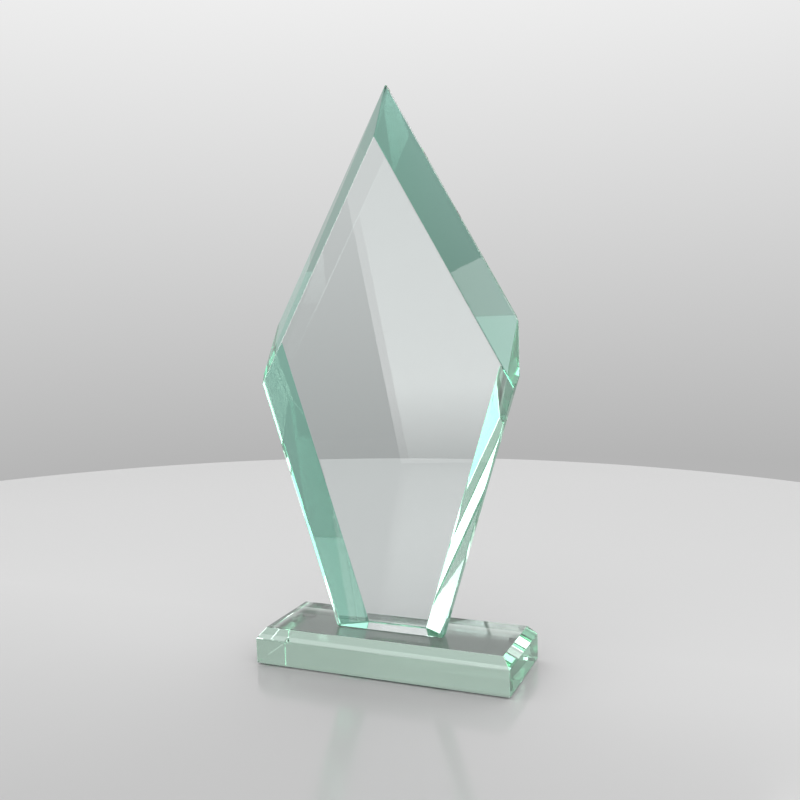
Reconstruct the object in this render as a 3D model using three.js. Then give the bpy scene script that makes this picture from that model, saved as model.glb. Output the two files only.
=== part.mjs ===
// A jade-glass award: a five-sided bevelled blade glued upright on a bevelled oblong base.
// Millimetres, +Z up. The origin is on the table, under the centre of the base. -Y is the front.
import * as THREE from "three";

// Both glass pieces are cut from the same plate.
const PLATE = 19;

// Base.
const BASE_WIDTH = 142;
const BASE_DEPTH = 54;
const BASE_BEVEL_INSET = 4.4;
const BASE_BEVEL_DROP = 5.3;

// Bumper pads under the base.
const PAD_RADIUS = 4;
const PAD_THICKNESS = 1;
const PAD_ROUNDING = 0.35;
const PAD_INSET = 9;
const PAD_SEGMENTS = 40;

// Adhesive film between the base and the blade.
const FILM_THICKNESS = 0.2;
const FILM_INSET = 0.4;

// Blade. Its front face is smaller than the widest section at the top, because the upper edges
// are bevelled from the front, and its back face is smaller at the bottom, because the lower
// edges are bevelled from the back.
const BLADE_HEIGHT = 284;
const UPPER_SLOPE = 1.78;
const UPPER_BEVEL_DROP = 28;
const UPPER_BEVEL_DEPTH = 16.5;
const LOWER_SLOPE = 3.25;
const FOOT_HALF_WIDTH = 30;
const LOWER_BEVEL_INSET = 13.4;
const LOWER_LAND = 5;

const BASE_BOTTOM = PAD_THICKNESS;
const BASE_TOP = BASE_BOTTOM + PLATE;
const BLADE_FOOT = BASE_TOP + FILM_THICKNESS;
const BLADE_FRONT = -PLATE / 2;

function named(name, geometry, colour, roughness) {
  const material = new THREE.MeshStandardMaterial({ color: colour, roughness, metalness: 0 });
  const mesh = new THREE.Mesh(geometry, material);
  mesh.name = name;
  return mesh;
}

// A closed convex body through rings of corners. Each ring is a flat polygon with the same
// number of corners, listed anticlockwise as seen from the last ring's side.
function bodyThroughRings(rings) {
  const corners = rings.flat();
  const sides = rings[0].length;
  const indices = [];
  for (let ring = 0; ring + 1 < rings.length; ring++) {
    for (let side = 0; side < sides; side++) {
      const next = (side + 1) % sides;
      const a = ring * sides + side;
      const b = ring * sides + next;
      indices.push(a, b, b + sides, a, b + sides, a + sides);
    }
  }
  const last = (rings.length - 1) * sides;
  for (let side = 1; side + 1 < sides; side++) {
    indices.push(0, side + 1, side);
    indices.push(last, last + side, last + side + 1);
  }
  const geometry = new THREE.BufferGeometry().setFromPoints(corners);
  geometry.setIndex(indices);
  const faceted = geometry.toNonIndexed();
  faceted.computeVertexNormals();
  return faceted;
}

function rectangle(halfWidth, halfDepth, height) {
  return [
    new THREE.Vector3(-halfWidth, -halfDepth, height),
    new THREE.Vector3(halfWidth, -halfDepth, height),
    new THREE.Vector3(halfWidth, halfDepth, height),
    new THREE.Vector3(-halfWidth, halfDepth, height),
  ];
}

function baseGeometry() {
  const halfWidth = BASE_WIDTH / 2;
  const halfDepth = BASE_DEPTH / 2;
  return bodyThroughRings([
    rectangle(halfWidth, halfDepth, BASE_BOTTOM),
    rectangle(halfWidth, halfDepth, BASE_TOP - BASE_BEVEL_DROP),
    rectangle(halfWidth - BASE_BEVEL_INSET, halfDepth - BASE_BEVEL_INSET, BASE_TOP),
  ]);
}

// Half the blade's width at its foot, at a depth measured back from the front face.
function footHalfWidth(depth) {
  const along = Math.max(0, depth - LOWER_LAND) / (PLATE - LOWER_LAND);
  return FOOT_HALF_WIDTH - LOWER_BEVEL_INSET * along;
}

// The blade's five-sided section at a depth measured back from the front face.
function bladeSection(depth) {
  const missing = Math.max(0, 1 - depth / UPPER_BEVEL_DEPTH);
  const apexHeight = BLADE_HEIGHT - UPPER_BEVEL_DROP * missing;
  const foot = footHalfWidth(depth);
  const shoulder = (foot + apexHeight / LOWER_SLOPE) / (1 + UPPER_SLOPE / LOWER_SLOPE);
  const shoulderHeight = apexHeight - UPPER_SLOPE * shoulder;
  const y = BLADE_FRONT + depth;
  return [
    new THREE.Vector3(-foot, y, BLADE_FOOT),
    new THREE.Vector3(-shoulder, y, BLADE_FOOT + shoulderHeight),
    new THREE.Vector3(0, y, BLADE_FOOT + apexHeight),
    new THREE.Vector3(shoulder, y, BLADE_FOOT + shoulderHeight),
    new THREE.Vector3(foot, y, BLADE_FOOT),
  ];
}

function bladeGeometry() {
  const depths = [0, LOWER_LAND, UPPER_BEVEL_DEPTH, PLATE];
  return bodyThroughRings(depths.map(bladeSection));
}

// The film follows the blade's foot, a little inside it.
function filmGeometry() {
  const front = BLADE_FRONT + FILM_INSET;
  const back = BLADE_FRONT + PLATE - FILM_INSET;
  const wide = footHalfWidth(0) - FILM_INSET;
  const narrow = footHalfWidth(PLATE) - FILM_INSET;
  const outline = new THREE.Shape();
  outline.moveTo(-wide, front);
  outline.lineTo(wide, front);
  outline.lineTo(wide, BLADE_FRONT + LOWER_LAND);
  outline.lineTo(narrow, back);
  outline.lineTo(-narrow, back);
  outline.lineTo(-wide, BLADE_FRONT + LOWER_LAND);
  outline.closePath();
  return new THREE.ExtrudeGeometry(outline, { depth: FILM_THICKNESS, bevelEnabled: false });
}

// A round pad with a rounded rim at the table, turned about the upright axis.
function padGeometry() {
  const rim = new THREE.Path();
  rim.moveTo(0, 0);
  rim.lineTo(PAD_RADIUS - PAD_ROUNDING, 0);
  rim.absarc(PAD_RADIUS - PAD_ROUNDING, PAD_ROUNDING, PAD_ROUNDING, -Math.PI / 2, 0);
  rim.lineTo(PAD_RADIUS, PAD_THICKNESS);
  rim.lineTo(0, PAD_THICKNESS);
  const geometry = new THREE.LatheGeometry(rim.getPoints(4), PAD_SEGMENTS);
  geometry.rotateX(Math.PI / 2);
  return geometry;
}

const award = new THREE.Group();
award.add(named("glass_base", baseGeometry(), "#6f9484", 0.03));
award.add(named("glass_blade", bladeGeometry(), "#a9c8bc", 0.03));

const film = named("adhesive_film", filmGeometry(), "#dfe8e2", 0.12);
film.position.z = BASE_TOP;
award.add(film);

const padCorners = { front_left: [-1, -1], front_right: [1, -1], back_left: [-1, 1], back_right: [1, 1] };
for (const [corner, [sideX, sideY]] of Object.entries(padCorners)) {
  const pad = named(`bumper_pad_${corner}`, padGeometry(), "#c9cdca", 0.45);
  pad.position.set(sideX * (BASE_WIDTH / 2 - PAD_INSET), sideY * (BASE_DEPTH / 2 - PAD_INSET), 0);
  award.add(pad);
}

export default award;
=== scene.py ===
import math

import bpy
from mathutils import Matrix, Vector


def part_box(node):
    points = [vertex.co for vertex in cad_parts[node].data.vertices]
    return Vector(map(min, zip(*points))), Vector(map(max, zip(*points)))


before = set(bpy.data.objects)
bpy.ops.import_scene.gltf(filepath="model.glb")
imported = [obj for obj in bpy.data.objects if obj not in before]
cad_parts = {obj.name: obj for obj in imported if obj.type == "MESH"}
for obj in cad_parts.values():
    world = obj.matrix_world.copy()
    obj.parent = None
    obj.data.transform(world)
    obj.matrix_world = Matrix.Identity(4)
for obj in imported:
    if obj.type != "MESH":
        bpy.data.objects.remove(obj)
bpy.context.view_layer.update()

MM = 0.001

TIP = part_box("glass_blade")[1].z
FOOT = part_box("glass_base")[0].z
CENTRE = Vector((0, 0, (FOOT + TIP) / 2))

# Glass: its absorption is a colour and a density for each metre of path. A tint is for the faces that look
# one way. Tints are set after the photo, real plate glass has none, and CLEAR is no tint.
GLASS_IOR = 1.52
GLASS_COLOUR = (0.46, 0.75, 0.61)
GLASS_DENSITY = 12.0
CLEAR = (1.0, 1.0, 1.0)
# Painted shade: grey on the faces, dark teal on bevels that look up, paler on bevels that look down.
BLADE_FACE_PAINTED_SHADE = (0.89, 0.875, 0.90)
UPPER_BEVEL_PAINTED_SHADE = (0.12, 0.46, 0.32)
LOWER_BEVEL_PAINTED_SHADE = (0.6, 0.66, 0.66)
BASE_FACE_PAINTED_SHADE = (0.6, 0.66, 0.62)
TINT_DRIFT = 0.04
POLISH = 0.012
RIPPLE_STRENGTH = 0.05
RIPPLE_HEIGHT = 0.2 * MM
ARRIS_WIDTH = 0.4 * MM
ARRIS_ANGLE = 15
CONTACT_GAP = 0.02 * MM
WELD_DISTANCE = 0.001 * MM

# Camera: its place in the part's frame, its turns in radians, and its lens and sensor in millimetres.
CAMERA_PLACE = Vector((0.1993, -0.4623, 0.2002))
CAMERA_YAW = -0.3957
CAMERA_PITCH = -0.1143
CAMERA_ROLL = -0.0284
CAMERA_LENS = 43.56
CAMERA_SENSOR = 36.0

# Table and backdrop.
TABLE_CENTRE = (-0.079, -0.084)
TABLE_RADIUS = 0.695
# The table's colour darkens from the far end to the near end as painted shade.
TABLE_NEAR = -0.5
TABLE_FAR = 0.6
TABLE_SHEEN = 0.6
BACKDROP_RADIUS = 2.2
BACKDROP_BOTTOM = -1.4
BACKDROP_TOP = 1.03
BACKDROP_FOOT = -0.27
BACKDROP_HEAD = 0.97
# The backdrop glows with painted light, dimmer at its foot and brighter at its head.
BACKDROP_FOOT_GLOW = 0.462
BACKDROP_HEAD_GLOW = 0.855
ROOM_GREY = 0.8

# Softboxes: their distance from the award's centre, and their light beside the room's.
SIDE_DISTANCE = 1.3
SIDE_LIGHT = 4.0
FRONT_DISTANCE = 0.62
FRONT_LIGHT = 4.2
FRONT_LIGHT_LOW = 1.5
FRONT_LIGHT_HIGH = 1.0
FRONT_LEAN = 0.18
BACK_DISTANCE = 2.0
BACK_LIGHT = 2.2


# ---------------------------------------------------------------- node trees

class Tree:
    """A material's node tree, with short calls for adding nodes and links."""

    def __init__(self, name):
        self.material = bpy.data.materials.new(name)
        self.material.use_nodes = True
        self.tree = self.material.node_tree
        self.tree.nodes.clear()
        self.output = self.tree.nodes.new("ShaderNodeOutputMaterial")

    def add(self, kind, **values):
        """Adds a node. A value named after a socket sets or links it, and any other sets a property."""
        node = self.tree.nodes.new("ShaderNode" + kind)
        for name, value in values.items():
            socket = node.inputs.get(name.replace("_", " "))
            if socket is None:
                setattr(node, name, value)
            else:
                self.feed(socket, value)
        return node

    def feed(self, socket, value):
        """Links a socket to another node's output, or sets it."""
        if isinstance(value, bpy.types.NodeSocket):
            self.tree.links.new(value, socket)
        else:
            socket.default_value = value

    def math(self, operation, a, b=0.0):
        node = self.tree.nodes.new("ShaderNodeMath")
        node.operation = operation
        for socket, value in zip(node.inputs, (a, b)):
            self.feed(socket, value)
        return node.outputs[0]

    def mix(self, factor, a, b):
        """A colour between a, at factor 0, and b, at factor 1."""
        node = self.tree.nodes.new("ShaderNodeMix")
        node.data_type = "RGBA"
        for socket, value in ((node.inputs[0], factor), (node.inputs[6], a), (node.inputs[7], b)):
            self.feed(socket, value)
        return node.outputs[2]

    def ramp(self, factor, *stops):
        """A colour ramp. Each stop is (position, grey or colour)."""
        node = self.tree.nodes.new("ShaderNodeValToRGB")
        elements = node.color_ramp.elements
        while len(elements) < len(stops):
            elements.new(0.5)
        for element, (position, colour) in zip(elements, stops):
            element.position = position
            element.color = rgba(colour)
        self.tree.links.new(factor, node.inputs[0])
        return node.outputs[0]

    def finish(self, surface, volume=None):
        """Links the shaders to the material's output."""
        self.tree.links.new(surface, self.output.inputs["Surface"])
        if volume is not None:
            self.tree.links.new(volume, self.output.inputs["Volume"])
        return self.material


def rgba(colour):
    """A colour, or a grey given as one number, with full opacity."""
    if isinstance(colour, (int, float)):
        colour = (colour, colour, colour)
    return (*colour, 1.0)


# ---------------------------------------------------------------- the award's materials

def jade_glass(name, face_painted_shade, upper_painted_shade, lower_painted_shade):
    """Polished plate glass, green in its depth. Its ground bevels are faintly rippled. Its tints are
    painted shade, for the plate's two faces, the bevels that look up and the bevels that look down."""
    t = Tree(name)
    place = t.add("TexCoord").outputs["Object"]
    normal = t.add("SeparateXYZ", Vector=t.add("NewGeometry").outputs["True Normal"])
    facing = t.math("ABSOLUTE", normal.outputs["Y"])
    bevel = t.ramp(facing, (0.3, 0.0), (0.5, 1.0), (0.92, 1.0), (0.96, 0.0))
    face = t.math("GREATER_THAN", facing, 0.97)
    upward = t.math("GREATER_THAN", normal.outputs["Z"], 0.0)
    cloud = t.add("TexNoise", Vector=place, Scale=25.0, Detail=3.0).outputs[0]
    # Painted shade: dark teal on the bevels that look up, paler on those that look down, grey on the faces.
    bevel_painted_shade = t.mix(upward, rgba(lower_painted_shade), rgba(upper_painted_shade))
    colour = t.mix(bevel, t.mix(face, rgba(1.0), rgba(face_painted_shade)), bevel_painted_shade)
    colour = t.mix(t.math("MULTIPLY", cloud, TINT_DRIFT), colour, rgba(1.0))
    grain = t.add("TexNoise", Vector=place, Scale=900.0, Detail=3.0).outputs[0]
    roughness = t.math("MULTIPLY", grain, POLISH)
    ripple = t.add("TexNoise", Vector=place, Scale=60.0, Detail=2.0).outputs[0]
    waves = t.math("MULTIPLY", ripple, bevel)
    bump = t.add("Bump", Height=waves, Strength=RIPPLE_STRENGTH, Distance=RIPPLE_HEIGHT).outputs[0]
    surface = t.add("BsdfPrincipled", Base_Color=colour, Roughness=roughness, Normal=bump,
                    Transmission_Weight=1.0, IOR=GLASS_IOR)
    volume = t.add("VolumeAbsorption", Color=rgba(GLASS_COLOUR), Density=GLASS_DENSITY)
    return t.finish(surface.outputs[0], volume.outputs[0])


def clear_adhesive():
    """Cured clear glue, with a few faint streaks where it spread."""
    t = Tree("clear_adhesive")
    place = t.add("TexCoord").outputs["Object"]
    streaks = t.add("TexNoise", Vector=place, Scale=140.0, Detail=4.0).outputs[0]
    colour = t.ramp(streaks, (0.35, (0.93, 0.97, 0.95)), (0.7, (0.8, 0.88, 0.84)))
    roughness = t.math("MULTIPLY", streaks, 0.2)
    surface = t.add("BsdfPrincipled", Base_Color=colour, Roughness=roughness,
                    Transmission_Weight=0.9, IOR=1.5)
    return t.finish(surface.outputs[0])


def clear_rubber():
    """Translucent polyurethane, with a moulded grain and a little dust."""
    t = Tree("clear_rubber")
    place = t.add("TexCoord").outputs["Object"]
    grain = t.add("TexNoise", Vector=place, Scale=1500.0, Detail=3.0).outputs[0]
    colour = t.ramp(grain, (0.3, (0.42, 0.45, 0.43)), (0.75, (0.6, 0.63, 0.61)))
    roughness = t.ramp(grain, (0.2, 0.35), (0.8, 0.6))
    bump = t.add("Bump", Height=grain, Strength=0.2, Distance=0.05 * MM).outputs[0]
    surface = t.add("BsdfPrincipled", Base_Color=colour, Roughness=roughness, Normal=bump,
                    Transmission_Weight=0.35)
    return t.finish(surface.outputs[0])


def dress(node, material):
    """Gives a CAD node its material, and joins its faces along their edges."""
    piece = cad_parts[node]
    piece.data.materials.clear()
    piece.data.materials.append(material)
    weld = piece.modifiers.new("weld", "WELD")
    weld.merge_threshold = WELD_DISTANCE
    return piece


def grind_arrises(piece):
    """Takes the sharp corner off every edge, as a glass cutter does."""
    arris = piece.modifiers.new("arris", "BEVEL")
    arris.width = ARRIS_WIDTH
    arris.segments = 2
    arris.limit_method = "ANGLE"
    arris.angle_limit = math.radians(ARRIS_ANGLE)


def leave_gap(piece):
    """Draws a piece in by a hair, so that none of its faces coincides with the glass it touches."""
    gap = piece.modifiers.new("contact_gap", "DISPLACE")
    gap.strength = -CONTACT_GAP
    gap.mid_level = 0.0


def make_award():
    blade = dress("glass_blade", jade_glass("blade_glass", BLADE_FACE_PAINTED_SHADE, UPPER_BEVEL_PAINTED_SHADE, LOWER_BEVEL_PAINTED_SHADE))
    base = dress("glass_base", jade_glass("base_glass", BASE_FACE_PAINTED_SHADE, CLEAR, CLEAR))
    for piece in (blade, base):
        grind_arrises(piece)
    leave_gap(dress("adhesive_film", clear_adhesive()))
    rubber = clear_rubber()
    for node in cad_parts:
        if node.startswith("bumper_pad"):
            leave_gap(dress(node, rubber))


# ---------------------------------------------------------------- the studio

def mesh_object(name, vertices, faces, material):
    mesh = bpy.data.meshes.new(name)
    mesh.from_pydata(vertices, [], faces)
    mesh.materials.append(material)
    piece = bpy.data.objects.new(name, mesh)
    bpy.context.scene.collection.objects.link(piece)
    return piece


def glow(name, low, high, light_low, light_high):
    """Plain light that changes from one grey to another between two heights."""
    t = Tree(name)
    height = t.add("SeparateXYZ", Vector=t.add("TexCoord").outputs["Object"]).outputs["Z"]
    rise = t.add("MapRange", Value=height, From_Min=low, From_Max=high)
    light = t.mix(rise.outputs[0], rgba(light_low), rgba(light_high))
    return t.finish(t.add("Emission", Color=light).outputs[0])


def place_at(azimuth, elevation, distance):
    """A place around the award's centre. Azimuth 0 is behind it and 90 is on its right, in degrees."""
    a, e = math.radians(azimuth), math.radians(elevation)
    return CENTRE + distance * Vector((math.sin(a) * math.cos(e), math.cos(a) * math.cos(e), math.sin(e)))


def softbox(name, distance, azimuths, elevations, light_low, light_high, lean=0.0):
    """A softbox curved around the award, from one azimuth and elevation to another. It shows in the glass
    and in the table's sheen, but not to the camera, and it does not light the table. Lean turns its upper
    end round, by so many degrees for each degree of elevation."""
    columns = 12
    (left, right), (low, high) = azimuths, elevations
    vertices, faces = [], []
    for i in range(columns + 1):
        azimuth = left + (right - left) * i / columns
        vertices.append(place_at(azimuth + lean * low, low, distance))
        vertices.append(place_at(azimuth + lean * high, high, distance))
        if i:
            faces.append((2 * i - 2, 2 * i, 2 * i + 1, 2 * i - 1))
    heights = [vertex.z for vertex in vertices]
    material = glow(name, min(heights), max(heights), light_low, light_high)
    piece = mesh_object(name, vertices, faces, material)
    piece.visible_camera = False
    piece.visible_diffuse = False
    piece.visible_shadow = False


def table_top():
    """Pale satin board with a faint sheen. Its colour darkens towards the camera, which is painted shade.
    """
    t = Tree("table")
    place = t.add("TexCoord").outputs["Object"]
    y = t.add("SeparateXYZ", Vector=place).outputs["Y"]
    along = t.add("MapRange", Value=y, From_Min=TABLE_NEAR, From_Max=TABLE_FAR)
    speckle = t.add("TexNoise", Vector=place, Scale=300.0, Detail=4.0).outputs[0]
    # Painted shade: the board's colour darkens towards the near end.
    colour = t.ramp(along.outputs[0], (0.2, 0.62), (0.5, 0.91), (0.8, 0.9))
    roughness = t.ramp(speckle, (0.3, 0.12), (0.7, 0.16))
    surface = t.add("BsdfPrincipled", Base_Color=colour, Roughness=roughness,
                    Specular_IOR_Level=TABLE_SHEEN)
    return t.finish(surface.outputs[0])


def make_table():
    steps = 256
    cx, cy = TABLE_CENTRE
    rim = [(cx + TABLE_RADIUS * math.cos(2 * math.pi * i / steps),
            cy + TABLE_RADIUS * math.sin(2 * math.pi * i / steps), 0.0) for i in range(steps)]
    mesh_object("table", rim, [tuple(range(steps))], table_top())


def backdrop_painted_glow():
    """A plain sweep that glows with painted light, brighter upwards."""
    t = Tree("backdrop")
    height = t.add("SeparateXYZ", Vector=t.add("TexCoord").outputs["Object"]).outputs["Z"]
    # Painted light: the glow rises from the foot to the head.
    rise = t.add("MapRange", Value=height, From_Min=BACKDROP_FOOT, From_Max=BACKDROP_HEAD,
                 To_Min=BACKDROP_FOOT_GLOW, To_Max=BACKDROP_HEAD_GLOW)
    return t.finish(t.add("Emission", Strength=rise.outputs[0]).outputs[0])


def make_backdrop():
    steps = 96
    ring = [(BACKDROP_RADIUS * math.sin(2 * math.pi * i / steps),
             BACKDROP_RADIUS * math.cos(2 * math.pi * i / steps)) for i in range(steps)]
    vertices = [(x, y, BACKDROP_BOTTOM) for x, y in ring] + [(x, y, BACKDROP_TOP) for x, y in ring]
    faces = [(i, (i + 1) % steps, (i + 1) % steps + steps, i + steps) for i in range(steps)]
    mesh_object("backdrop", vertices, faces, backdrop_painted_glow())


def make_room():
    world = bpy.data.worlds.new("room")
    bpy.context.scene.world = world
    world.use_nodes = True
    background = world.node_tree.nodes["Background"]
    background.inputs["Color"].default_value = rgba(ROOM_GREY)


def make_softboxes():
    """Plain softboxes: one on each side, one above the backdrop, and one in front on the left, which is
    made of two because its light fades towards both ends."""
    softbox("softbox_left", SIDE_DISTANCE, (-140, -75), (5, 40), SIDE_LIGHT, SIDE_LIGHT)
    softbox("softbox_right", SIDE_DISTANCE, (35, 130), (5, 40), SIDE_LIGHT, SIDE_LIGHT)
    front = (-178, -156)
    softbox("softbox_front_low", FRONT_DISTANCE, front, (-14, -6),
            FRONT_LIGHT_LOW, FRONT_LIGHT, FRONT_LEAN)
    softbox("softbox_front", FRONT_DISTANCE, front, (-6, 24),
            FRONT_LIGHT, FRONT_LIGHT_HIGH, FRONT_LEAN)
    softbox("softbox_back", BACK_DISTANCE, (5, 25), (25, 35), BACK_LIGHT, BACK_LIGHT)


# ---------------------------------------------------------------- camera and picture

def make_camera():
    """The view from the award's right front, a little above its middle."""
    ahead = Vector((math.sin(CAMERA_YAW) * math.cos(CAMERA_PITCH),
                    math.cos(CAMERA_YAW) * math.cos(CAMERA_PITCH),
                    math.sin(CAMERA_PITCH)))
    level = Vector((math.cos(CAMERA_YAW), -math.sin(CAMERA_YAW), 0))
    above = level.cross(ahead)
    right = level * math.cos(CAMERA_ROLL) + above * math.sin(CAMERA_ROLL)
    up = above * math.cos(CAMERA_ROLL) - level * math.sin(CAMERA_ROLL)
    lens = bpy.data.cameras.new("camera")
    lens.sensor_width = CAMERA_SENSOR
    lens.lens = CAMERA_LENS
    lens.clip_start = 0.01
    camera = bpy.data.objects.new("camera", lens)
    turn = Matrix((right, up, -ahead)).transposed()
    camera.matrix_world = Matrix.Translation(CAMERA_PLACE) @ turn.to_4x4()
    bpy.context.scene.collection.objects.link(camera)
    bpy.context.scene.camera = camera


def set_picture():
    """Plain tones, and enough bounces for light that runs along inside the glass."""
    scene = bpy.context.scene
    scene.view_settings.view_transform = "Standard"
    scene.view_settings.look = "None"
    scene.cycles.max_bounces = 32
    scene.cycles.transmission_bounces = 32
    scene.cycles.glossy_bounces = 32
    scene.cycles.use_denoising = True
    scene.cycles.caustics_reflective = False
    scene.cycles.caustics_refractive = False


make_camera()
make_award()
make_table()
make_backdrop()
make_room()
make_softboxes()
set_picture()
